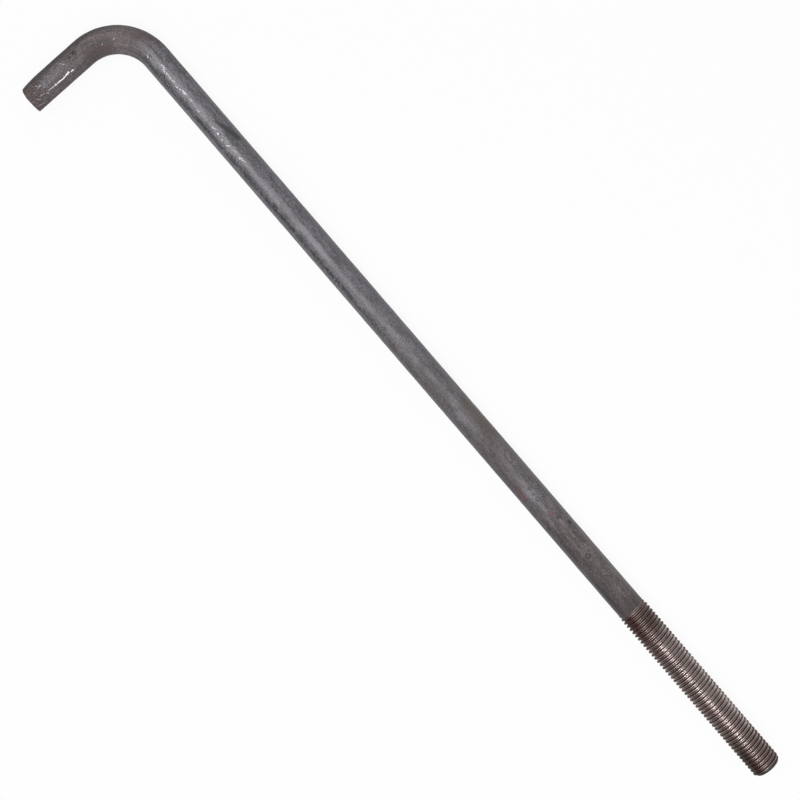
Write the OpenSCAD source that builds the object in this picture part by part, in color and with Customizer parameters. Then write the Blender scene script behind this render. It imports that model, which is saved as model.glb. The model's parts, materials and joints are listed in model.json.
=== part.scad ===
// L-shaped anchor bolt: one round steel bar with a rolled thread on one end and a
// right-angled hook bent on the other. It lies flat on the ground, as it comes to rest.
// Frame: the ground is Z = 0, the threaded end points along +X and the hook along -Y.
// The origin is under the middle of the bolt's outline. Millimetres.

/* [Bar] */
// Overall length, from the outside of the hook to the threaded end
overall_l = 609.6; // [340:0.1:900]
// Diameter of the plain bar
shank_d = 17.6; // [12:0.1:22]
// Radius of the bend, at the middle of the bar
bend_r = 32; // [22:0.5:60]
// Reach of the hook, from the far side of the bar to the hook's tip
hook_reach = 85; // [80:0.5:160]

/* [Thread] */
// Outside diameter over the thread's crests
thread_d = 19; // [14:0.05:24]
// Distance from one crest to the next
thread_pitch = 2.54; // [1.5:0.01:3.2]
// Length of the thread, from its first turn to the end of the bar
thread_l = 127; // [40:0.1:200]
// Turns over which the thread rises out of the plain bar
runout_turns = 2; // [0:1:5]
// Chamfer on the threaded end
point_chamfer = 1.7; // [0.5:0.1:3]

/* [Sheared tip] */
// Length of the hook's tip that the shear drew in
tip_draw_l = 4; // [1:0.5:8]
// How far the shear drew the tip's edge in, all round
tip_draw = 0.4; // [0.1:0.1:1]

/* [Hidden] */
$fn = 96;

shank_r = shank_d / 2;
crest_r = thread_d / 2;

// Unified thread form: 60 degree flanks, with crest and depth as shares of the pitch
flank_slope = tan(30);
crest_land = thread_pitch / 8;
thread_depth = 0.6134 * thread_pitch;
root_r = crest_r - thread_depth;
thread_turns = ceil(thread_l / thread_pitch);

// Straight stretches of the bar, between the thread, the bend and the hook's tip
bend_x = shank_r + bend_r - overall_l;
shank_l = -bend_x - thread_l;
leg_l = hook_reach - shank_r - bend_r;

// The widest half-thickness, on which the bolt lies, and the middle of the outline
lie_r = max(crest_r, shank_r);
mid_y = (lie_r + shank_r - hook_reach) / 2;

// Share of the full thread form at a turn, counted from the plain bar
function rise(turn) = min(1, max(0, (turn + 1) / (runout_turns + 1)));
function crest_at(turn) = shank_r + (crest_r - shank_r) * rise(turn);
function root_at(turn) = shank_r - (shank_r - root_r) * rise(turn);

// One turn of the thread's section, from the crest before its groove to its own crest
function groove(turn) =
    let (
        start = turn * thread_pitch,
        end = start + thread_pitch - crest_land,
        before = crest_at(turn - 1),
        after = crest_at(turn),
        root = root_at(turn)
    )
    [
        [before, start],
        [root, start + (before - root) * flank_slope],
        [root, end - (after - root) * flank_slope],
        [after, end]
    ];

// Turns what is drawn along Z so that it lies along X
module along_x() {
    rotate([0, 90, 0])
        children();
}

// Threaded bar along Z, with a turn to spare past its end
module thread_form() {
    grooves = [for (turn = [0 : thread_turns]) each groove(turn)];
    spare_l = (thread_turns + 1) * thread_pitch;
    rotate_extrude()
        polygon(concat([[0, 0]], grooves, [[crest_r, spare_l], [0, spare_l]]));
}

// Bar with the chamfered point that the thread ends in
module pointed_bar() {
    wide_r = lie_r + point_chamfer;
    cone_l = wide_r - crest_r + point_chamfer;
    rotate_extrude()
        polygon([
            [0, -thread_pitch],
            [wide_r, -thread_pitch],
            [wide_r, thread_l - cone_l],
            [crest_r - point_chamfer, thread_l],
            [0, thread_l]
        ]);
}

module threaded_end() {
    translate([-thread_l, 0, 0])
        along_x()
            intersection() {
                thread_form();
                pointed_bar();
            }
}

module shank() {
    translate([bend_x, 0, 0])
        along_x()
            cylinder(h = shank_l, r = shank_r);
}

module bend() {
    translate([bend_x, -bend_r, 0])
        rotate([0, 0, 90])
            rotate_extrude(angle = 90)
                translate([bend_r, 0])
                    circle(r = shank_r);
}

// Straight leg of the hook, with its edge drawn in where the bar was sheared off
module hook_leg() {
    plain_l = leg_l - tip_draw_l;
    translate([bend_x - bend_r, -bend_r, 0])
        rotate([90, 0, 0]) {
            cylinder(h = plain_l, r = shank_r);
            translate([0, 0, plain_l])
                cylinder(h = tip_draw_l, r1 = shank_r, r2 = shank_r - tip_draw);
        }
}

module anchor_bolt() {
    color("#5a5656")
        translate([overall_l / 2, -mid_y, lie_r]) {
            threaded_end();
            shank();
            bend();
            hook_leg();
        }
}

anchor_bolt();
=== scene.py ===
"""L-shaped anchor bolt: its rolled thread, bent bar and worn mill scale, on a pale studio floor."""
import json
import math
from bisect import bisect_left, bisect_right
from collections import Counter

import bpy
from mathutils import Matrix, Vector


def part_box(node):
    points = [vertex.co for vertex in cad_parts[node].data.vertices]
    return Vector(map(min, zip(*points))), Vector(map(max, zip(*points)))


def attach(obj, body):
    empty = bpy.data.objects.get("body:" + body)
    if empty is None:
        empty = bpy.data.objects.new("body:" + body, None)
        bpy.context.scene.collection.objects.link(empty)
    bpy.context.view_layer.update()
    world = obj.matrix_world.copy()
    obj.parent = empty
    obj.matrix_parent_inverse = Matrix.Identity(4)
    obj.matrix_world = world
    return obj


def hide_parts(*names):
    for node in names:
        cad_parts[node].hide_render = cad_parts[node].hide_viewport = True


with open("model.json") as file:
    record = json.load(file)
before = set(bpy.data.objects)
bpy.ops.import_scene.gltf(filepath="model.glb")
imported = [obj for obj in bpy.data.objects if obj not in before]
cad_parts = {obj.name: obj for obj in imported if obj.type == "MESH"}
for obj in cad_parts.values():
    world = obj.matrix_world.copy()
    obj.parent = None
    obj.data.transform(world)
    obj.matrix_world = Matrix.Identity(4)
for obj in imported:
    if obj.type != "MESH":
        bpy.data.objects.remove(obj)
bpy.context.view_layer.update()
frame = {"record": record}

bl_info = {
    "name": "L-shaped anchor bolt",
    "version": (1, 0, 0),
    "blender": (4, 5, 0),
    "location": "3D View > Sidebar > Anchor bolt",
    "description": "Models an L-shaped anchor bolt with a rolled thread and worn mill scale",
    "category": "Object",
}

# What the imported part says: its box, and the axis and crest radius of its thread
LOW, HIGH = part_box("anchor_bolt")
THREAD_MOUNT = next(m for m in frame["record"]["mounts"] if m["name"] == "threaded_end")
AXIS_Y, AXIS_Z = THREAD_MOUNT["pos_m"][1:]
CREST_RADIUS = THREAD_MOUNT["dims"]["r_mm"] / 1000

MM = 0.001

# Points closer than this are one point, and a cut's tolerance is finer still
SAME_PLACE = 1e-6
CLEAN_CUT = 1e-7

# How finely the surfaces are divided: sides round the bar, rings along it in one or two passes,
# insets on the sheared tip, and cuts where there are small marks
SIDES = 80
BAR_RINGS = (16, 22)
BEND_RINGS = 80
LEG_RINGS = (66,)
TIP_INSETS = 5
MARK_CUTS = 2

# The gap between thread and bar that the join closes, and the angle up to which edges are smooth
JOIN_GAP = 1.0 * MM
SMOOTH_ANGLE = math.radians(50)

# Turns to spare before the thread and past its end, which are cut off
TURNS_BEFORE = 2
TURNS_AFTER = 1

# One turn of the rolled thread: share of the pitch along the bar, share of the depth above the root
HALF_TURN = ((0.0, 0.0), (0.06, 0.03), (0.115, 0.12), (0.4, 0.9), (0.45, 0.985))
TURN_SECTION = HALF_TURN + ((0.5, 1.0),) + tuple((1 - a, h) for a, h in reversed(HALF_TURN))

# Marks as strokes with a width. Their ends are places on the bar in millimetres: the distance from the
# threaded end along the bar, and the distance from its middle towards the outside of the bend, from above
DIE_SCRAPE = (
    ((633.4, -5.2), (635.2, -5.6), 0.75), ((635.2, -5.6), (638.3, -5.9), 0.52),
    ((638.3, -5.9), (641.0, -5.8), 0.45), ((641.0, -5.8), (644.9, -5.7), 0.42),
    ((644.9, -5.7), (649.6, -5.5), 0.36),
)
BARE_FLECKS = (
    ((571.0, -3.4), (570.3, -3.3), 0.65), ((568.8, -3.0), (567.4, -2.9), 0.4),
    ((560.7, -0.6), (557.5, -0.7), 0.4), ((558.1, -1.8), (556.5, -1.8), 0.5),
    ((554.9, -1.5), (552.0, -1.7), 0.38), ((551.3, -1.9), (548.2, -1.4), 0.42),
    ((545.7, -2.3), (541.2, -1.4), 0.38), ((540.4, -0.9), (537.6, -1.2), 0.5),
    ((533.8, -1.0), (532.6, -1.1), 0.3), ((526.0, -2.0), (525.4, -2.0), 0.42),
    ((524.6, -1.9), (523.2, -1.8), 0.3), ((512.1, -1.9), (509.0, -0.9), 0.22),
    ((507.0, -1.9), (506.2, -1.8), 0.62), ((502.7, -2.4), (501.6, -2.4), 0.3),
    ((498.3, -2.7), (496.9, -1.9), 0.45), ((493.7, -1.5), (491.1, -0.9), 0.4),
    ((487.3, -1.5), (486.2, -1.4), 0.6), ((484.7, -1.1), (482.4, -0.3), 0.35),
    ((604.9, -3.9), (604.3, -3.0), 0.3), ((596.4, -1.8), (595.0, -1.0), 0.25),
    ((632.5, -0.1), (632.0, -0.2), 0.35), ((633.4, 1.5), (633.9, 1.4), 0.3),
    ((631.8, -5.9), (630.5, -5.9), 0.5), ((654.2, 1.5), (653.4, 0.6), 0.3),
    ((657.3, -1.1), (656.9, -1.2), 0.3), ((660.4, -7.6), (657.0, -8.3), 0.35),
    ((575.0, 5.2), (574.2, 5.4), 0.3), ((569.0, 7.1), (568.2, 7.2), 0.35),
    ((566.5, 7.6), (565.8, 7.7), 0.35), ((558.6, 8.2), (556.5, 8.3), 0.3),
    ((656.1, -4.8), (653.2, -5.2), 0.22), ((658.9, -5.0), (656.9, -6.2), 0.22),
    ((661.6, -4.9), (661.2, -5.0), 0.3), ((654.2, -0.4), (651.4, -0.4), 0.25),
    ((651.9, -5.8), (650.9, -6.5), 0.32),
)
# Sheen strokes: thin scale, partly a painted highlight laid along the top of the bar and the leg
SHEEN_AND_HIGHLIGHT_STROKES = (
    ((653.7, -0.9), (642.2, -1.4), 2.4), ((642.2, -1.4), (633.5, 0.6), 2.2),
    ((571.0, -2.6), (558.0, -1.4), 2.2), ((558.0, -1.9), (482.0, -1.8), 2.6),
    ((482.0, -1.4), (452.0, -0.8), 1.6), ((432.0, -0.9), (404.0, -1.2), 1.8),
)
DARK_SMEARS = (
    ((513.3, 1.8), (509.5, 3.0), 0.8), ((509.5, 3.0), (505.4, 4.1), 1.3),
    ((505.4, 4.1), (497.4, 5.8), 1.9), ((521.6, -5.4), (519.4, -5.0), 1.2),
    ((534.2, -4.2), (532.6, -4.4), 0.8), ((452.8, -3.9), (449.0, -4.4), 0.7),
    ((444.3, -5.4), (443.6, -5.4), 0.8), ((441.4, -5.7), (440.7, -5.6), 0.9),
    ((438.4, -5.3), (437.2, -5.2), 0.9), ((434.9, -5.2), (434.2, -5.2), 0.7),
    ((627.8, 0.6), (627.0, 0.6), 0.6), ((190.9, 6.1), (190.1, 6.3), 1.2),
    ((152.0, -6.6), (141.0, -6.4), 1.2), ((141.0, -6.4), (128.0, -6.2), 2.0),
    ((624.0, 1.3), (623.2, 1.7), 0.8),
)
RUST_SMEARS = (
    ((583.5, 3.0), (576.0, 6.4), 3.0), ((615.3, -6.8), (602.7, -5.7), 4.5),
    ((286.0, 5.0), (262.0, 6.6), 3.6), ((226.4, -5.2), (219.5, -5.6), 1.6),
    ((203.0, 0.6), (200.1, 0.3), 1.1), ((133.0, -8.0), (126.0, -5.0), 3.0),
)

# Round pits: the same two distances and a size
PITS = (
    (221.8, 1.3, 1.0), (213.7, 0.6, 1.2), (168.3, 1.0, 1.4), (190.5, 6.1, 1.2),
    (181.8, -6.0, 1.0), (226.4, 5.2, 0.9), (352.0, -3.0, 1.0), (401.0, 3.5, 0.9),
    (217.4, 0.8, 0.7), (219.2, 6.1, 0.8), (197.7, 2.9, 1.0), (194.6, -1.0, 0.8),
    (623.0, 0.9, 1.1),
)

# The hollow that the die pressed into the hook: its middle, and half its length and width
DIE_HOLLOW_PLACE = (641 * MM, -1.5 * MM)
DIE_HOLLOW_REACH = (12 * MM, 5.5 * MM)

# How far each kind of wear moves the surface
DIE_HOLLOW_DEPTH = 0.35 * MM
DIE_RIDGE_HEIGHT = 0.25 * MM
CHIP_DEPTH = 0.12 * MM
PIT_DEPTH = 0.3 * MM
SCAR_DEPTH = 0.15 * MM

# A chip wider than this has a dented scar beside it, painted dark as the chip's shadow: the scar's place
# from the chip, and its width
DEEP_CHIP = 0.6
SCAR_SHADOW_ASIDE = (-0.6, 0.8)
SCAR_SHADOW_WIDTH = 0.7

# The dark rim of a pit: how dark it is, and how far it reaches from the pit's edge
RIM_DARKNESS = 0.7
RIM_REACH = 0.31

# The sheared tip: the length and depth that it is drawn in, and those of its rounded outer corner
DRAWN_TIP = (16 * MM, 1.3 * MM)
ROUNDED_TIP = (3 * MM, 1.3 * MM)

# Ripple of the surface: size of its clouds, depth, and the level that stays in place. The point has none
SCALE_RIPPLE = (6 * MM, 0.18 * MM, 0.85)
THREAD_RIPPLE = (3 * MM, 0.01 * MM, 1.0)
PLAIN_POINT = 2 * MM

# Where the finish changes, in millimetres along the bar from its threaded end: from none to all of it
POINT_FACE = (1.9, 0.9)
LAST_TURNS = (36.0, 8.0)
# Painted shade on the inner side of the last turns
SHADED_LAST_TURNS = (45.0, 12.0)
FIRST_TURNS = (94.0, 120.0)
THREAD_START = (126.4, 124.4)
COLLAR = (142.0, 127.0)
WORN_SCALE = (250.0, 190.0)
WARM_SCALE = (370.0, 170.0)
# Painted shade on the bar's inner side, from the middle towards the thread
SHADED_INNER_SIDE = (420.0, 170.0)
DOTTED_FLANK = (330.0, 400.0)
LIVELY_SCALE = (330.0, 480.0)
FLAKED_SCALE = (470.0, 490.0)
BROKEN_CHIPS = (528.0, 536.0)
FLANK_END = (575.0, 540.0)
DULL_HOOK = (566.0, 590.0)
HOOK_LEG = (588.0, 618.0)
TIP_RUST = (649.0, 656.0)

# Stretches with a start and an end along the bar: none, all, still all and none again
FRESH_RUST = (192.0, 196.0, 232.0, 238.0)
STAINED_BAR = (240.0, 252.0, 320.0, 420.0)
BRIGHT_CHIPS = (493.0, 496.0, 526.0, 530.0)
OUTER_BEND = (532.0, 552.0, 572.0, 588.0)
SCRAPED_LEG = (610.0, 628.0, 651.0, 654.0)
POLISHED_SCRAPE = (627.0, 632.0, 640.0, 650.0)

# Stretches of a turn painted dark as shade on the flanks: the flank towards the bar, and the one towards
# the point
BAR_FLANK_SHADE = (0.17, 0.22, 0.38, 0.42)
POINT_FLANK_SHADE = (0.54, 0.58, 0.98, 1.02)

# The floor: its size, its grey, and how white the camera and the bolt's reflections see it
FLOOR_SIZE = 12
FLOOR_GREY = 0.6
FLOOR_SEEN = 0.93
FLOOR_MIRRORED = 0.2

# Glow of the studio all round, from overhead and from the side behind the bar
ROOM_GLOW = 0.16
OVERHEAD_GLOW = 0.5
SIDE_GLOW = 0.33

# The soft boxes over the stage: name, place, width, depth and power
SOFTBOXES = (
    ("hook_softbox", (-0.75, -0.42, 1.5), 0.9, 0.9, 10.0),
    ("thread_softbox", (0.69, -0.38, 1.5), 0.5, 0.75, 18.5),
)

# The camera: place, turn in degrees, lens and sensor width in millimetres
CAMERA_PLACE = (0.00698, 0.04953, 0.87576)
CAMERA_TURN = (-0.9649, 2.6604, 49.244)
CAMERA_LENS = 64.098
CAMERA_SENSOR = 36


class BoltSizes(bpy.types.PropertyGroup):
    """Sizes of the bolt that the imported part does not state"""

    bar_diameter: bpy.props.FloatProperty(
        name="Bar diameter",
        description="Diameter of the plain bar",
        default=0.0176,
        unit="LENGTH",
    )
    bend_radius: bpy.props.FloatProperty(
        name="Bend radius",
        description="Radius of the bend at the middle of the bar",
        default=0.032,
        unit="LENGTH",
    )
    thread_length: bpy.props.FloatProperty(
        name="Thread length",
        description="Length of the thread, up to the end of the bar",
        default=0.127,
        unit="LENGTH",
    )
    thread_pitch: bpy.props.FloatProperty(
        name="Thread pitch",
        description="Distance from one crest to the next",
        default=0.00254,
        precision=5,
        unit="LENGTH",
    )
    thread_depth: bpy.props.FloatProperty(
        name="Thread depth",
        description="Height of the crests over the roots",
        default=0.00156,
        precision=5,
        unit="LENGTH",
    )
    runout_length: bpy.props.FloatProperty(
        name="Run-out",
        description="Length over which the thread rises out of the plain bar",
        default=0.0042,
        unit="LENGTH",
    )
    point_chamfer: bpy.props.FloatProperty(
        name="Point chamfer",
        description="Chamfer on the threaded end",
        default=0.0017,
        unit="LENGTH",
    )


def colour(name, description, value):
    """A colour that the panel offers."""
    return bpy.props.FloatVectorProperty(
        name=name, description=description, subtype="COLOR", size=3, default=value,
    )


class BoltColours(bpy.types.PropertyGroup):
    """Colours of the bolt's finishes"""

    cool_scale: colour("Cool scale", "Mill scale towards the hook", (0.069, 0.0622, 0.0752))
    warm_scale: colour("Warm scale", "Mill scale towards the thread", (0.0572, 0.0445, 0.0448))
    hook_scale: colour("Hook scale", "Duller scale on the bend and the hook", (0.071, 0.0545, 0.057))
    # Dark scale also colours the painted shade on the bar's inner side, besides thick scale in smears
    dark_scale_and_shade: colour("Dark scale", "Soot and thick scale in smears", (0.026, 0.0185, 0.0195))
    black_scale: colour("Black scale", "Black dots of thick scale along the bar", (0.02, 0.019, 0.022))
    # The sheen colour is partly a painted highlight along the top of the bar and the leg
    sheen_and_highlight_colour: colour("Sheen", "Thin scale that shows a pale violet sheen", (0.15, 0.145, 0.165))
    rust: colour("Rust", "Rust on the sheared tip and in smears", (0.05, 0.0275, 0.0275))
    fresh_rust: colour("Fresh rust", "Redder rust in spots near the thread", (0.115, 0.041, 0.037))
    stain: colour("Stain", "Olive stain on the straight bar", (0.062, 0.05, 0.036))
    bare_steel: colour(
        "Bare steel", "Steel where the scale has flaked or been scraped off", (0.46, 0.45, 0.47),
    )
    polished_steel: colour(
        "Polished steel", "The brightest part of the scrape on the hook", (0.8, 0.78, 0.8),
    )
    rolled_steel: colour("Rolled steel", "Crests of the rolled thread", (0.565, 0.495, 0.48))
    # Thread grime also colours the painted shade on the flanks
    thread_grime_and_shade: colour("Thread grime", "Brown grime in the roots of the thread", (0.07, 0.031, 0.025))


def only(piece):
    """Leaves one object selected and active, in object mode."""
    bpy.ops.object.select_all(action="DESELECT")
    piece.select_set(True)
    bpy.context.view_layer.objects.active = piece


def pick(piece, domain, test):
    """Selects the vertices, edges or faces that pass the test, and stays in edit mode."""
    bpy.ops.object.mode_set(mode="EDIT")
    bpy.ops.mesh.select_mode(type=domain)
    bpy.ops.mesh.select_all(action="DESELECT")
    bpy.ops.object.mode_set(mode="OBJECT")
    parts = {"VERT": piece.data.vertices, "EDGE": piece.data.edges, "FACE": piece.data.polygons}
    for part in parts[domain]:
        part.select = test(part)
    bpy.ops.object.mode_set(mode="EDIT")


def apply_modifier(piece, name, kind, **settings):
    """Adds a modifier with its settings and applies it."""
    only(piece)
    modifier = piece.modifiers.new(name, kind)
    for key, value in settings.items():
        setattr(modifier, key, value)
    bpy.ops.object.modifier_apply(modifier=name)


def section_chain(name, points):
    """An open chain of edges through points in the XZ plane, extruded point by point."""
    bpy.ops.object.select_all(action="DESELECT")
    bpy.ops.mesh.primitive_plane_add(size=MM)
    chain = bpy.context.object
    chain.name = name
    bpy.ops.object.mode_set(mode="EDIT")
    bpy.ops.mesh.select_all(action="SELECT")
    bpy.ops.mesh.merge(type="CENTER")
    bpy.ops.transform.translate(value=(points[0][0], 0, points[0][1]))
    for (r0, z0), (r1, z1) in zip(points, points[1:]):
        bpy.ops.mesh.extrude_region_move(TRANSFORM_OT_translate={"value": (r1 - r0, 0, z1 - z0)})
    bpy.ops.object.mode_set(mode="OBJECT")
    return chain


def roll_thread(sizes):
    """The threaded end along Z, with its end face at Z = 0, open where the plain bar joins."""
    pitch = sizes.thread_pitch
    root = CREST_RADIUS - sizes.thread_depth
    bar_end = -sizes.thread_length
    turns = math.ceil(sizes.thread_length / pitch) + TURNS_BEFORE + TURNS_AFTER
    first = bar_end - TURNS_BEFORE * pitch
    points = [(root + h * sizes.thread_depth, first + a * pitch) for a, h in TURN_SECTION]
    thread = section_chain("thread", points)
    apply_modifier(
        thread, "Turns", "SCREW", axis="Z", angle=2 * math.pi, screw_offset=pitch,
        iterations=turns, steps=SIDES, render_steps=SIDES,
    )
    bpy.ops.object.mode_set(mode="EDIT")
    bpy.ops.mesh.select_all(action="SELECT")
    bpy.ops.mesh.remove_doubles(threshold=SAME_PLACE)
    bpy.ops.mesh.normals_make_consistent(inside=False)
    for height, keep_above in ((bar_end, True), (0.0, False)):
        bpy.ops.mesh.select_all(action="SELECT")
        bpy.ops.mesh.bisect(
            plane_co=(0, 0, height), plane_no=(0, 0, 1), use_fill=True, threshold=CLEAN_CUT,
            clear_inner=keep_above, clear_outer=not keep_above,
        )
    bpy.ops.object.mode_set(mode="OBJECT")
    chamfer_point(thread, sizes)
    rise_from_bar(thread, sizes)
    return thread


def chamfer_point(thread, sizes):
    """Turns the chamfer on the threaded end with a conical cutter."""
    end_radius = CREST_RADIUS - sizes.point_chamfer
    height = 2 * sizes.thread_length
    bpy.ops.object.select_all(action="DESELECT")
    bpy.ops.mesh.primitive_cone_add(
        vertices=SIDES * 2, radius1=end_radius + height, radius2=end_radius, depth=height,
        location=(0, 0, -height / 2),
    )
    cutter = bpy.context.object
    cutter.name = "chamfer_cutter"
    apply_modifier(thread, "Chamfer", "BOOLEAN", operation="INTERSECT", solver="MANIFOLD", object=cutter)
    bpy.data.objects.remove(cutter)


def rise_from_bar(thread, sizes):
    """Fades the first turns into the plain bar, as the rolls leave them, and opens that end."""
    bar_end = -sizes.thread_length
    fade = thread.vertex_groups.new(name="run_out")
    for vertex in thread.data.vertices:
        risen = (vertex.co.z - bar_end) / sizes.runout_length
        if risen < 1:
            fade.add([vertex.index], 1 - max(risen, 0), "REPLACE")
    apply_modifier(
        thread, "Run-out", "CAST", cast_type="CYLINDER", factor=1.0, use_x=True, use_y=True, use_z=False,
        use_radius_as_size=False, size=sizes.bar_diameter / 2, radius=0.0, vertex_group=fade.name,
    )
    thread.vertex_groups.clear()
    pick(thread, "FACE", lambda face: face.center.z < bar_end + SAME_PLACE)
    bpy.ops.mesh.delete(type="ONLY_FACE")
    bpy.ops.object.mode_set(mode="OBJECT")


def bend_bar(sizes):
    """The plain bar along Z, its bend and the hook's leg along -Y, open only where the thread joins."""
    radius = sizes.bar_diameter / 2
    top = -sizes.thread_length - JOIN_GAP
    bend_z = LOW.x - HIGH.x + radius + sizes.bend_radius
    leg = HIGH.y - LOW.y - CREST_RADIUS - sizes.bend_radius
    bpy.ops.object.select_all(action="DESELECT")
    bpy.ops.mesh.primitive_circle_add(vertices=SIDES, radius=radius)
    bar = bpy.context.object
    bar.name = "bar"
    bpy.ops.object.mode_set(mode="EDIT")
    bpy.ops.mesh.select_mode(type="VERT")
    bpy.ops.mesh.select_all(action="SELECT")
    bpy.ops.transform.translate(value=(0, 0, top))
    bpy.ops.mesh.extrude_region_move(TRANSFORM_OT_translate={"value": (0, 0, bend_z - top)})
    cut_lengthwise(bar, "z", top - bend_z, BAR_RINGS)
    pick(bar, "VERT", lambda v: v.co.z < bend_z + SAME_PLACE)
    bpy.ops.mesh.spin(
        steps=BEND_RINGS, angle=math.pi / 2, center=(0, -sizes.bend_radius, bend_z), axis=(1, 0, 0),
    )
    bpy.ops.mesh.extrude_region_move(TRANSFORM_OT_translate={"value": (0, -leg, 0)})
    bpy.ops.mesh.edge_face_add()
    for _ in range(TIP_INSETS):
        bpy.ops.mesh.inset(thickness=radius / (TIP_INSETS + 1))
    cut_lengthwise(bar, "y", leg, LEG_RINGS)
    bpy.ops.mesh.select_all(action="SELECT")
    bpy.ops.mesh.remove_doubles(threshold=SAME_PLACE)
    bpy.ops.mesh.normals_make_consistent(inside=False)
    bpy.ops.object.mode_set(mode="OBJECT")
    return bar


def cut_lengthwise(piece, axis, length, passes):
    """Cuts the faces that run the whole length along an axis into rings, in one or more passes."""
    for rings in passes:
        bpy.ops.object.mode_set(mode="OBJECT")
        places = piece.data.vertices

        def runs_through(edge):
            a, b = (places[i].co for i in edge.vertices)
            return abs(abs(getattr(a, axis) - getattr(b, axis)) - length) < SAME_PLACE

        pick(piece, "EDGE", runs_through)
        bpy.ops.mesh.subdivide(number_cuts=rings - 1)
        length /= rings


def join_thread(bar, thread):
    """Joins the thread to the bar and closes the gap between their open ends."""
    only(bar)
    thread.select_set(True)
    bpy.ops.object.join()
    bpy.ops.object.mode_set(mode="EDIT")
    bpy.ops.mesh.select_mode(type="EDGE")
    bpy.ops.mesh.select_all(action="DESELECT")
    bpy.ops.mesh.select_non_manifold()
    bpy.ops.mesh.bridge_edge_loops()
    bpy.ops.mesh.select_all(action="SELECT")
    bpy.ops.mesh.normals_make_consistent(inside=False)
    bpy.ops.object.mode_set(mode="OBJECT")


def check_closed(piece):
    """Stops with an error where an edge of the surface is open."""
    uses = Counter(key for face in piece.data.polygons for key in face.edge_keys)
    if any(count != 2 for count in uses.values()):
        raise RuntimeError(f"The surface of {piece.name} is not closed")


def place_on_bar(point, sizes):
    """A point's place on the straight bar: along from the thread's end, out from the bend, and up."""
    bend = Vector((LOW.x + sizes.bar_diameter / 2 + sizes.bend_radius, AXIS_Y - sizes.bend_radius))
    x, y, z = point
    up = z - AXIS_Z
    if x >= bend.x:
        return Vector((HIGH.x - x, y - AXIS_Y, up))
    along = HIGH.x - bend.x
    if y <= bend.y:
        along += sizes.bend_radius * math.pi / 2 + bend.y - y
        return Vector((along, bend.x - sizes.bend_radius - x, up))
    arm = Vector((x, y)) - bend
    along += sizes.bend_radius * math.atan2(-arm.x, arm.y)
    return Vector((along, arm.length - sizes.bend_radius, up))


def on_top(along, out, sizes):
    """The place on the bar's upper side at a mark given in millimetres."""
    radius = sizes.bar_diameter / 2
    out = out * MM
    return Vector((along * MM, out, math.sqrt(max(radius * radius - out * out, 0))))


def to_stroke(place, a, b):
    """Distance from a place to the stroke between two others."""
    run = b - a
    share = min(max((place - a).dot(run) / max(run.length_squared, SAME_PLACE ** 2), 0), 1)
    return (place - a - share * run).length


def in_order(places):
    """Places with their numbers, sorted along the bar."""
    return sorted((place.x, index, place) for index, place in enumerate(places))


def nearness(ordered, marks, sizes):
    """How near each place is to strokes on the bar's upper side: 1 on a stroke, a half at its edge."""
    near = {}
    for first, last, width in marks:
        a = on_top(*first, sizes)
        b = on_top(*last, sizes)
        reach = 2 * width * MM
        low = bisect_left(ordered, min(a.x, b.x) - reach, key=lambda item: item[0])
        high = bisect_right(ordered, max(a.x, b.x) + reach, key=lambda item: item[0])
        for _, index, place in ordered[low:high]:
            value = 1 - to_stroke(place, a, b) / reach
            if value > near.get(index, 0):
                near[index] = value
    return near


def as_dots(marks):
    """Round marks as strokes with no length."""
    return tuple(((along, out), (along, out), size) for along, out, size in marks)


def beside(marks, along, out, width):
    """The same strokes moved aside, for the painted shadow beside a chip."""
    return [((a0 + along, o0 + out), (a1 + along, o1 + out), width) for (a0, o0), (a1, o1), _ in marks]


def refine_marks(bolt, sizes):
    """Divides the surface finely where small marks need it."""
    ordered = in_order([place_on_bar(face.center, sizes) for face in bolt.data.polygons])
    fine = nearness(ordered, DIE_SCRAPE + BARE_FLECKS + as_dots(PITS), sizes)
    pick(bolt, "FACE", lambda face: face.index in fine)
    bpy.ops.mesh.subdivide(number_cuts=MARK_CUTS)
    bpy.ops.object.mode_set(mode="OBJECT")


def push(bolt, name, direction, strength, weights):
    """Moves the surface by a displacement that is weighted by place."""
    group = bolt.vertex_groups.new(name=name)
    for index, weight in weights:
        group.add([index], weight, "REPLACE")
    apply_modifier(
        bolt, name, "DISPLACE", direction=direction, strength=strength, mid_level=0.0,
        vertex_group=group.name,
    )
    bolt.vertex_groups.clear()


def keep_marks(bolt, name, near):
    """Stores a mark's nearness at each point, for the finish."""
    kept = bolt.data.attributes.new(name, "FLOAT", "POINT")
    for index, value in near.items():
        kept.data[index].value = value


def shear_tip(bolt, places, sizes):
    """Draws in the sheared tip towards the outside of the bend, and rounds its outer corner."""
    tip = max(p.x for p in places)
    radius = sizes.bar_diameter / 2
    drawn_length, drawn_depth = DRAWN_TIP
    rounded_length, rounded_depth = ROUNDED_TIP
    drawn = []
    rounded = []
    for index, place in enumerate(places):
        back = tip - place.x
        # The draw grows from half a radius inside the middle to the outer side
        if back < drawn_length:
            outer = min(max((place.y / radius + 0.5) / 1.5, 0), 1)
            drawn.append((index, outer * (1 - back / drawn_length) ** 2))
        # Nearly all of the rounding is at the rim of the outer side
        if back < rounded_length:
            ring = min(math.hypot(place.y, place.z) / radius, 1)
            corner = 0.05 + 0.95 * max(place.y / radius, 0)
            rounded.append((index, corner * ring ** 6 * (1 - back / rounded_length) ** 2))
    push(bolt, "drawn_tip", "X", drawn_depth, drawn)
    push(bolt, "rounded_tip", "Y", rounded_depth, rounded)


def press_hollow(bolt, places):
    """Presses the shallow hollow that the bending die left on the hook's leg."""
    weights = []
    for index, place in enumerate(places):
        steps = [(place[i] - DIE_HOLLOW_PLACE[i]) / DIE_HOLLOW_REACH[i] for i in (0, 1)]
        bowl = math.hypot(*steps)
        if bowl < 1 and place.z > 0:
            weights.append((index, (1 - bowl * bowl) ** 2))
    push(bolt, "die_hollow", "NORMAL", -DIE_HOLLOW_DEPTH, weights)


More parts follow.
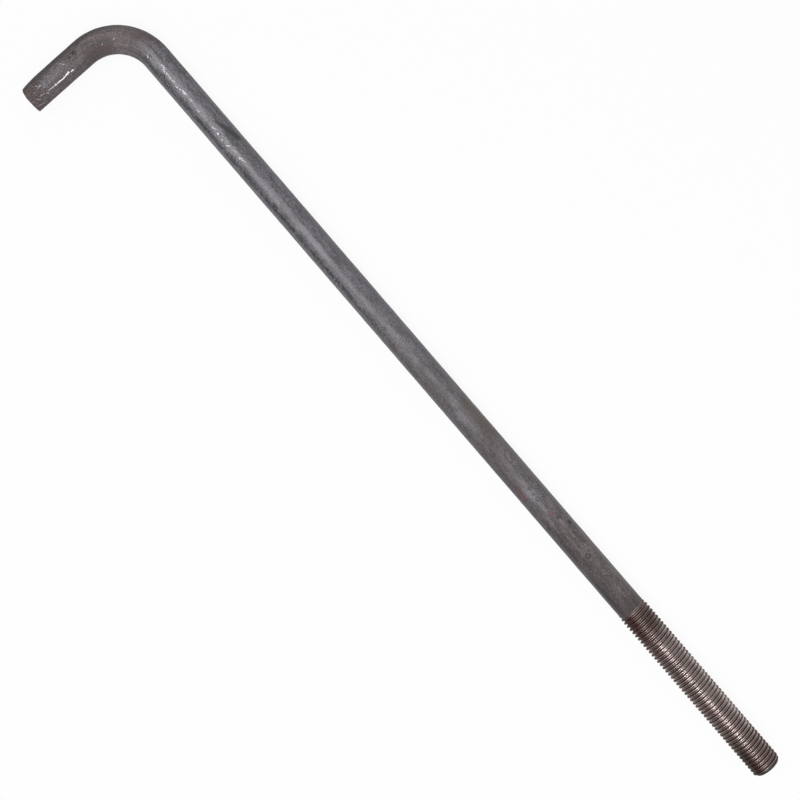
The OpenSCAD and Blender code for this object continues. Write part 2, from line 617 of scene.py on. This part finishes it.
def wear_bar(bolt, sizes):
    """Marks the bar with the die's scrape, chips and pits, and stores where each kind of mark is."""
    places = [place_on_bar(v.co, sizes) for v in bolt.data.vertices]
    ordered = in_order(places)
    deep = [mark for mark in BARE_FLECKS if mark[2] > DEEP_CHIP]
    pits = nearness(ordered, as_dots(PITS), sizes)
    # Dented scars beside the deep chips, painted dark as the chips' shadow
    scars_with_painted_shadow = nearness(ordered, beside(deep, *SCAR_SHADOW_ASIDE, SCAR_SHADOW_WIDTH), sizes)
    rims = {}
    for index, value in pits.items():
        from_edge = abs(value - 0.5)
        if from_edge < RIM_REACH:
            rims[index] = RIM_DARKNESS - from_edge * 2.0
    dark = nearness(ordered, DARK_SMEARS, sizes)
    for marks in (scars_with_painted_shadow, rims):
        for index, value in marks.items():
            dark[index] = max(value, dark.get(index, 0))
    keep_marks(bolt, "dark_marks", dark)
    keep_marks(bolt, "bare_marks", nearness(ordered, DIE_SCRAPE + BARE_FLECKS, sizes))
    keep_marks(bolt, "sheen_and_highlight_marks", nearness(ordered, SHEEN_AND_HIGHLIGHT_STROKES, sizes))
    keep_marks(bolt, "rust_marks", nearness(ordered, RUST_SMEARS, sizes))

    shear_tip(bolt, places, sizes)
    press_hollow(bolt, places)
    push(bolt, "die_ridge", "NORMAL", DIE_RIDGE_HEIGHT, nearness(ordered, DIE_SCRAPE, sizes).items())
    push(bolt, "chips", "NORMAL", -CHIP_DEPTH, nearness(ordered, BARE_FLECKS, sizes).items())
    push(bolt, "pits", "NORMAL", -PIT_DEPTH, pits.items())
    push(bolt, "scars_with_painted_shadow", "NORMAL", -SCAR_DEPTH, scars_with_painted_shadow.items())


def ripple(bolt, name, size, depth, level, along):
    """Roughens the surface about a level with a cloud texture, over one stretch of the bar."""
    texture = bpy.data.textures.new(name, "CLOUDS")
    texture.noise_scale = size
    texture.noise_depth = 2
    group = bolt.vertex_groups.new(name=name)
    points = [v.index for v in bolt.data.vertices if along[0] <= HIGH.x - v.co.x <= along[1]]
    group.add(points, 1.0, "REPLACE")
    apply_modifier(
        bolt, name, "DISPLACE", direction="NORMAL", strength=depth, mid_level=level, texture=texture,
        texture_coords="LOCAL", vertex_group=group.name,
    )
    bolt.vertex_groups.clear()


def keep_places(bolt, sizes):
    """Stores each point's place on the straight bar, which the finishes follow round the bend."""
    kept = bolt.data.attributes.new("rod", "FLOAT_VECTOR", "POINT")
    for vertex, item in zip(bolt.data.vertices, kept.data):
        item.vector = place_on_bar(vertex.co, sizes)


class Signal:
    """A socket of a material's nodes, with the arithmetic of shader maths."""

    def __init__(self, socket):
        self.socket = socket

    def node(self, kind, settings=None, sockets=None, output=0):
        """Adds a node with its settings, values and links, and gives one of its outputs."""
        tree = self.socket.id_data
        added = tree.nodes.new(kind)
        for key, value in (settings or {}).items():
            setattr(added, key, value)
        for key, value in (sockets or {}).items():
            if isinstance(value, Signal):
                tree.links.new(value.socket, added.inputs[key])
            else:
                added.inputs[key].default_value = value
        return Signal(added.outputs[output])

    def combine(self, operation, first, second):
        """A Math node for two numbers, or Vector Math where either is a vector or a colour."""
        wide = any(isinstance(v, tuple) or is_wide(v) for v in (first, second))
        kind = "ShaderNodeVectorMath" if wide else "ShaderNodeMath"
        if wide:
            first, second = (spread(v) for v in (first, second))
        return self.node(kind, {"operation": operation}, {0: first, 1: second})

    def __add__(self, other):
        return self.combine("ADD", self, other)

    def __radd__(self, other):
        return self.combine("ADD", other, self)

    def __sub__(self, other):
        return self.combine("SUBTRACT", self, other)

    def __rsub__(self, other):
        return self.combine("SUBTRACT", other, self)

    def __mul__(self, other):
        return self.combine("MULTIPLY", self, other)

    def __rmul__(self, other):
        return self.combine("MULTIPLY", other, self)

    def __truediv__(self, other):
        return self.combine("DIVIDE", self, other)

    def __rtruediv__(self, other):
        return self.combine("DIVIDE", other, self)

    def largest(self, other):
        """The larger of this and another, point by point."""
        return self.combine("MAXIMUM", self, other)

    def smallest(self, other):
        """The smaller of this and another, point by point."""
        return self.combine("MINIMUM", self, other)

    def ramp(self, low, high):
        """A smooth step from 0 at low to 1 at high."""
        values = {"Value": self, "From Min": low, "From Max": high}
        return self.node("ShaderNodeMapRange", {"interpolation_type": "SMOOTHSTEP"}, values)

    def within(self, low, rise, fall, high):
        """A smooth window: 0 up to low, 1 from rise to fall, and 0 again from high."""
        return self.ramp(low, rise) * self.ramp(high, fall)

    def blend(self, first, second):
        """The first colour where this mask is 0, the second where it is 1."""
        first, second = (c if isinstance(c, Signal) else (*c, 1.0) for c in (first, second))
        sockets = {0: self, 6: first, 7: second}
        return self.node("ShaderNodeMix", {"data_type": "RGBA"}, sockets, output=2)

    def parts(self):
        """The three numbers of a vector."""
        split = self.node("ShaderNodeSeparateXYZ", sockets={0: self})
        return [Signal(s) for s in split.socket.node.outputs]

    def noise(self, scale, detail=2.0, roughness=0.5):
        """Cloudy noise over this place, with a scale for each direction."""
        values = {"Vector": self * spread(scale), "Scale": 1.0, "Detail": detail, "Roughness": roughness}
        return self.node("ShaderNodeTexNoise", sockets=values)


def is_wide(value):
    """Whether a signal carries a vector or a colour."""
    return isinstance(value, Signal) and value.socket.type in {"VECTOR", "RGBA"}


def spread(value):
    """A number as a vector of three, for Vector Math."""
    if isinstance(value, (int, float)):
        return (value, value, value)
    return value


class Surface:
    """What the finishes read: places on the straight bar in millimetres, noise over them, and marks."""

    def __init__(self, start):
        self.start = start
        rod = start.node("ShaderNodeAttribute", {"attribute_name": "rod"}, output=1)
        place = rod * (1 / MM)
        self.along, self.out, self.up = place.parts()
        # Most of the noise is stretched along the bar, as rolling leaves the scale
        self.grain = place.noise(0.8, 4.0, 0.65)
        self.mottle = place.noise((0.12, 0.3, 0.3), 4.0, 0.6)
        self.drawn = place.noise((0.03, 0.9, 0.9), 2.0)
        self.cloud = place.noise((0.015, 0.06, 0.06), 2.0)
        self.speck = place.noise((0.5, 1.1, 1.1), 3.0, 0.7)
        self.dust = place.noise((1.3, 1.7, 1.7), 2.0, 0.6)
        self.dots = place.noise((0.5, 0.8, 0.8), 3.0, 0.65)
        self.patch = place.noise((0.1, 0.16, 0.16), 3.0, 0.6)

    def marks(self, name):
        """How near each point is to the marks of one kind."""
        return self.start.node("ShaderNodeAttribute", {"attribute_name": name}, output=2)


def mill_scale(steel, colours):
    """Colour, roughness and metal of the bar: scale with its smears, sheen, rust and bare flecks."""
    along, out, up = steel.along, steel.out, steel.up
    grain, mottle, speck, dust = steel.grain, steel.mottle, steel.speck, steel.dust
    ragged = (mottle - 0.5) * 0.8 + (grain - 0.5) * 0.8

    # The scale itself, warmer towards the thread and duller on the hook
    warm = (along + (steel.cloud - 0.5) * 300.0 + (mottle - 0.5) * 200.0).ramp(*WARM_SCALE)
    hook = along.ramp(*DULL_HOOK)
    leg = along.ramp(*HOOK_LEG)
    lively = along.ramp(*LIVELY_SCALE)
    worn = along.ramp(*WORN_SCALE)
    tone = 1.0 + (mottle - 0.5) * (1.8 + 1.2 * lively + 1.2 * worn)
    tone = tone + (grain - 0.5) * (3.0 + 0.6 * lively + worn)
    tone = tone + (steel.drawn - 0.5) * (1.4 + 0.6 * lively)
    tone = tone + (dust - 0.5) * (4.4 + worn + 3.0 * leg)
    tone = tone.largest(0.3) * (1.0 - 0.2 * leg)
    bar = warm.blend(colours.cool_scale, colours.warm_scale)
    bar = hook.blend(bar, colours.hook_scale) * tone

    # Black dots on the inner flank, dark edges on the bend and leg, smears, painted shade on the bar's
    # inner side towards the thread, and the thread's collar
    dots = steel.dots.ramp(0.47, 0.56)
    aside = out + 5.6
    inner_flank = (aside * aside).ramp(2.6, 0.1) * up.ramp(-1.0, 2.0) * along.ramp(*FLANK_END)
    inner_flank = inner_flank * (0.45 + 0.55 * along.ramp(*DOTTED_FLANK))
    outer_edge = out.ramp(2.5, 6.5) * up.ramp(-2.0, 1.0)
    outer_bend = outer_edge * along.within(*OUTER_BEND) * dots
    outer_edge = outer_edge * leg
    spots = inner_flank * (0.1 + 0.85 * dots)
    # Painted shade: the bar's inner side is darkened towards the thread
    inner_side_shade = out.ramp(2.0, -5.0) * along.ramp(*SHADED_INNER_SIDE) * 0.5
    # The dark marks hold real smears and pit rims, and the painted shadow beside deep chips
    smear_and_chip_shadow = (steel.marks("dark_marks") + ragged * 0.9 + (dust - 0.5) * 0.6).ramp(0.25, 0.8)
    collar = along.ramp(*COLLAR) * 0.55
    black = spots.largest(smear_and_chip_shadow * 0.92)
    # Real dark marks together with the painted shade on the bar's inner side
    marks_and_shade = black.largest(outer_edge * 0.75).largest(outer_bend * 0.8).largest(inner_side_shade).largest(collar)
    bar = marks_and_shade.blend(bar, black.blend(colours.dark_scale_and_shade, colours.black_scale))

    # A pale sheen where the scale is thin, partly a painted highlight: its strokes lie along the top of
    # the bar and the leg, where the lamps' highlight falls
    sheen = (steel.marks("sheen_and_highlight_marks") + ragged * 1.5).ramp(0.15, 0.8)
    sheen = sheen * (speck * 0.5 + dust * 0.5).ramp(0.36, 0.6)
    bar = (sheen * 0.46).blend(bar, colours.sheen_and_highlight_colour)

    # Rust on the sheared tip and in smears, olive on the straight bar and redder near the thread
    rust_patch = (steel.marks("rust_marks") + ragged * 1.5).ramp(0.25, 0.8) * (0.3 + 0.5 * dust)
    tip_rust = (along + (mottle - 0.5) * 20.0 + out * 0.4).ramp(*TIP_RUST)
    rust = rust_patch.largest(tip_rust * (1.0 - speck.ramp(0.56, 0.66) * 0.7))
    rust = rust * (1.0 - 0.3 * outer_edge)
    rust_tint = along.within(*STAINED_BAR).blend(colours.rust, colours.stain)
    rust_tint = along.within(*FRESH_RUST).blend(rust_tint, colours.fresh_rust)
    bar = rust.blend(bar, rust_tint) * (1.0 - 0.45 * outer_edge * tip_rust)

    # Bare steel where the scale has flaked or chipped off, polished where the die scraped it
    flakes = sheen * dust.ramp(0.6, 0.7) * along.ramp(*FLAKED_SCALE)
    stray = speck.ramp(0.68, 0.76) * mottle.ramp(0.5, 0.62)
    stray = stray.largest(tip_rust * dust.ramp(0.54, 0.64))
    near_bare = steel.marks("bare_marks")
    broken = 1.9 + 1.5 * along.ramp(*BROKEN_CHIPS) - 1.8 * leg
    chips = (near_bare * (0.85 + 0.15 * leg) + (dust - 0.5) * broken).ramp(0.42, 0.72)
    chips = chips * near_bare.ramp(0.05, 0.35)
    bright = along.within(*BRIGHT_CHIPS) * 0.35
    chips = chips * (0.7 + 0.3 * bright.largest(along.within(*SCRAPED_LEG)))
    bare = (flakes * 0.34).largest(stray * 0.3).largest(chips)
    polished = bright.largest(along.within(*POLISHED_SCRAPE) * out.ramp(-2.5, -4.0))
    bar = bare.blend(bar, polished.blend(colours.bare_steel, colours.polished_steel))

    # Rust, the darkened places with their painted shade, and warm scale are duller, and the warm scale is
    # smoother at the bar's sides
    sides = out.ramp(4.0, 7.0).largest(out.ramp(-6.0, -8.0))
    rough = 0.45 + 0.3 * (mottle - 0.5) + 0.4 * (grain - 0.5) + 0.25 * rust + 0.42 * warm
    rough = rough + 0.33 * hook + 0.3 * marks_and_shade - 0.1 * bare - 0.45 * warm * sides
    metal = bare.largest(spots * 0.45).largest(smear_and_chip_shadow * 0.2)
    return bar, rough, metal


def thread_steel(steel, sizes, colours):
    """Colour, roughness and metal of the thread: bright crests and roots, with painted shade on the
    flanks.
    """
    along, out, patch = steel.along, steel.out, steel.patch

    # The place within a turn of the helix: 0 at the root and a half at the crest
    round_bar = out.combine("ARCTAN2", out, 0.0 - steel.up) / (2.0 * math.pi)
    turn = along / (-sizes.thread_pitch / MM) - round_bar
    turn = turn.node("ShaderNodeMath", {"operation": "FRACT"}, {0: turn})
    flank_shade = turn.within(*BAR_FLANK_SHADE).largest(turn.within(*POINT_FLANK_SHADE))

    # Grime is thicker at both ends of the thread, and the bar's inner side is darkened as painted shade
    first_turns = (along + (patch - 0.5) * 40.0).ramp(*FIRST_TURNS)
    dirt_and_inner_shade = 0.9 * first_turns + 0.7 * along.ramp(*LAST_TURNS) + 0.7 * out.ramp(-1.5, -6.0)
    # Besides the grime, the flanks are painted dark as shade
    grime_and_shade = (dirt_and_inner_shade + (patch - 0.5)) * (0.7 + 0.3 * flank_shade) + 0.85 * flank_shade
    grime_and_shade = grime_and_shade.largest(0.0).smallest(1.0)
    thread = grime_and_shade.blend(colours.rolled_steel, colours.thread_grime_and_shade) * (0.85 + steel.grain * 0.3)
    # Painted shade: the inner side of the last turns is darker still
    thread = thread * (1.0 - 0.35 * along.ramp(*SHADED_LAST_TURNS) * out.ramp(-2.0, -6.0))
    point = along.ramp(*POINT_FACE)
    thread = point.blend(thread, colours.dark_scale_and_shade)
    rough = 0.33 + 0.2 * grime_and_shade
    metal = (1.0 - 0.26 * grime_and_shade) * (1.0 - point * 0.5)
    return thread, rough, metal


def steel_finish(sizes, colours):
    """Mill scale on the bar and rolled steel on the thread, in one finish with a fine relief."""
    finish = bpy.data.materials.new("mill_scale_and_rolled_steel")
    finish.use_nodes = True
    tree = finish.node_tree
    shader = tree.nodes["Principled BSDF"]
    shader.inputs["IOR"].default_value = 1.8
    steel = Surface(Signal(shader.outputs[0]))
    bar, bar_rough, bar_metal = mill_scale(steel, colours)
    thread, thread_rough, thread_metal = thread_steel(steel, sizes, colours)
    threaded = (steel.along + steel.out * -0.15 + (steel.grain - 0.5) * 3.0).ramp(*THREAD_START)
    base = threaded.blend(bar, thread)
    rough = bar_rough + (thread_rough - bar_rough) * threaded
    metal = bar_metal + (thread_metal - bar_metal) * threaded

    relief = steel.grain * 0.45 + steel.speck * 0.25 + steel.dust * 0.2 + steel.drawn * 0.2
    relief = relief * (1.0 - 0.92 * threaded)
    values = {"Strength": 0.5, "Distance": 0.4 * MM, "Height": relief}
    bump = relief.node("ShaderNodeBump", sockets=values)
    look = {"Base Color": base, "Roughness": rough, "Metallic": metal, "Normal": bump}
    for name, signal in look.items():
        tree.links.new(signal.socket, shader.inputs[name])
    return finish


class ANCHORBOLT_OT_bolt(bpy.types.Operator):
    """Model the bolt as one piece of steel: roll the thread, bend the bar, join, wear and finish them"""

    bl_idname = "anchor_bolt.bolt"
    bl_label = "Bolt"

    def execute(self, context):
        sizes = context.scene.anchor_bolt_sizes
        thread = roll_thread(sizes)
        bolt = bend_bar(sizes)
        join_thread(bolt, thread)
        bolt.name = "steel_bolt"
        bolt.data.name = "steel_bolt"
        check_closed(bolt)
        bolt.rotation_euler = (0, math.pi / 2, 0)
        bolt.location = (HIGH.x, AXIS_Y, AXIS_Z)
        only(bolt)
        bpy.ops.object.transform_apply(location=True, rotation=True, scale=True)
        refine_marks(bolt, sizes)
        keep_places(bolt, sizes)
        wear_bar(bolt, sizes)
        ripple(bolt, "scale_ripple", *SCALE_RIPPLE, (sizes.thread_length + JOIN_GAP, math.inf))
        ripple(bolt, "thread_ripple", *THREAD_RIPPLE, (PLAIN_POINT, sizes.thread_length))
        only(bolt)
        bpy.ops.object.shade_smooth_by_angle(angle=SMOOTH_ANGLE)
        bolt.data.materials.clear()
        bolt.data.materials.append(steel_finish(sizes, context.scene.anchor_bolt_colours))
        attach(bolt, "root")
        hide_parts("anchor_bolt")
        return {"FINISHED"}


def floor_finish():
    """A pale floor that the camera sees almost white, with the bolt's shadow kept."""
    paint = bpy.data.materials.new("studio_floor")
    paint.use_nodes = True
    tree = paint.node_tree
    shader = tree.nodes["Principled BSDF"]
    shader.inputs["Base Color"].default_value = (FLOOR_GREY, FLOOR_GREY, FLOOR_GREY, 1)
    shader.inputs["Roughness"].default_value = 0.9
    start = Signal(shader.outputs[0])
    seen = start.node("ShaderNodeLightPath")
    paths = seen.socket.node.outputs
    seen = seen.largest(Signal(paths["Is Transmission Ray"])) * FLOOR_SEEN
    seen = seen.largest(Signal(paths["Is Glossy Ray"]) * FLOOR_MIRRORED)
    glow = start.node("ShaderNodeEmission", sockets={"Color": (1, 1, 1, 1), "Strength": 1.0})
    mixed = start.node("ShaderNodeMixShader", sockets={0: seen, 1: start, 2: glow})
    tree.links.new(mixed.socket, tree.nodes["Material Output"].inputs["Surface"])
    return paint


def studio_world():
    """A white studio that glows from overhead and from behind the bar."""
    world = bpy.data.worlds.new("studio")
    world.use_nodes = True
    tree = world.node_tree
    back = tree.nodes["Background"]
    back.inputs["Color"].default_value = (1, 1, 1, 1)
    start = Signal(back.outputs[0])
    _, side, height = start.node("ShaderNodeTexCoord").parts()
    glow = ROOM_GLOW + OVERHEAD_GLOW * height.ramp(0.0, 0.9) + SIDE_GLOW * side.ramp(0.2, 1.0)
    seen = start.node("ShaderNodeLightPath")
    tree.links.new(seen.largest(glow).socket, back.inputs["Strength"])
    return world


class ANCHORBOLT_OT_stage(bpy.types.Operator):
    """Set the pale floor, the soft studio light and the camera over the bolt"""

    bl_idname = "anchor_bolt.stage"
    bl_label = "Stage"

    def execute(self, context):
        scene = context.scene
        bpy.ops.object.select_all(action="DESELECT")
        bpy.ops.mesh.primitive_plane_add(size=FLOOR_SIZE, location=(0, 0, LOW.z))
        floor = context.object
        floor.name = "studio_floor"
        floor.data.materials.append(floor_finish())
        scene.world = studio_world()

        for name, place, width, depth, power in SOFTBOXES:
            bpy.ops.object.light_add(type="AREA", location=place)
            softbox = context.object
            softbox.name = name
            softbox.data.shape = "RECTANGLE"
            softbox.data.size = width
            softbox.data.size_y = depth
            softbox.data.energy = power
            softbox.rotation_euler = (-softbox.location).to_track_quat("-Z", "Y").to_euler()

        turn = [math.radians(angle) for angle in CAMERA_TURN]
        bpy.ops.object.camera_add(location=CAMERA_PLACE, rotation=turn)
        camera = context.object
        camera.data.lens = CAMERA_LENS
        camera.data.sensor_width = CAMERA_SENSOR
        scene.camera = camera
        scene.view_settings.view_transform = "Standard"
        return {"FINISHED"}


class ANCHORBOLT_PT_panel(bpy.types.Panel):
    """Lists the steps that make the bolt and its stage, with the sizes and colours that they use"""

    bl_idname = "ANCHORBOLT_PT_panel"
    bl_label = "Anchor bolt"
    bl_space_type = "VIEW_3D"
    bl_region_type = "UI"
    bl_category = "Anchor bolt"

    def draw(self, context):
        column = self.layout.column()
        for operator in OPERATORS:
            column.operator(operator.bl_idname)
        for group in (context.scene.anchor_bolt_sizes, context.scene.anchor_bolt_colours):
            for name in group.bl_rna.properties.keys():
                if name not in {"rna_type", "name"}:
                    column.prop(group, name)


OPERATORS = (ANCHORBOLT_OT_bolt, ANCHORBOLT_OT_stage)
CLASSES = (BoltSizes, BoltColours) + OPERATORS + (ANCHORBOLT_PT_panel,)


def register():
    for kind in CLASSES:
        bpy.utils.register_class(kind)
    bpy.types.Scene.anchor_bolt_sizes = bpy.props.PointerProperty(type=BoltSizes)
    bpy.types.Scene.anchor_bolt_colours = bpy.props.PointerProperty(type=BoltColours)


def unregister():
    del bpy.types.Scene.anchor_bolt_sizes
    del bpy.types.Scene.anchor_bolt_colours
    for kind in reversed(CLASSES):
        bpy.utils.unregister_class(kind)


def main():
    register()
    bpy.ops.anchor_bolt.bolt()
    bpy.ops.anchor_bolt.stage()


if __name__ == "__main__":
    main()
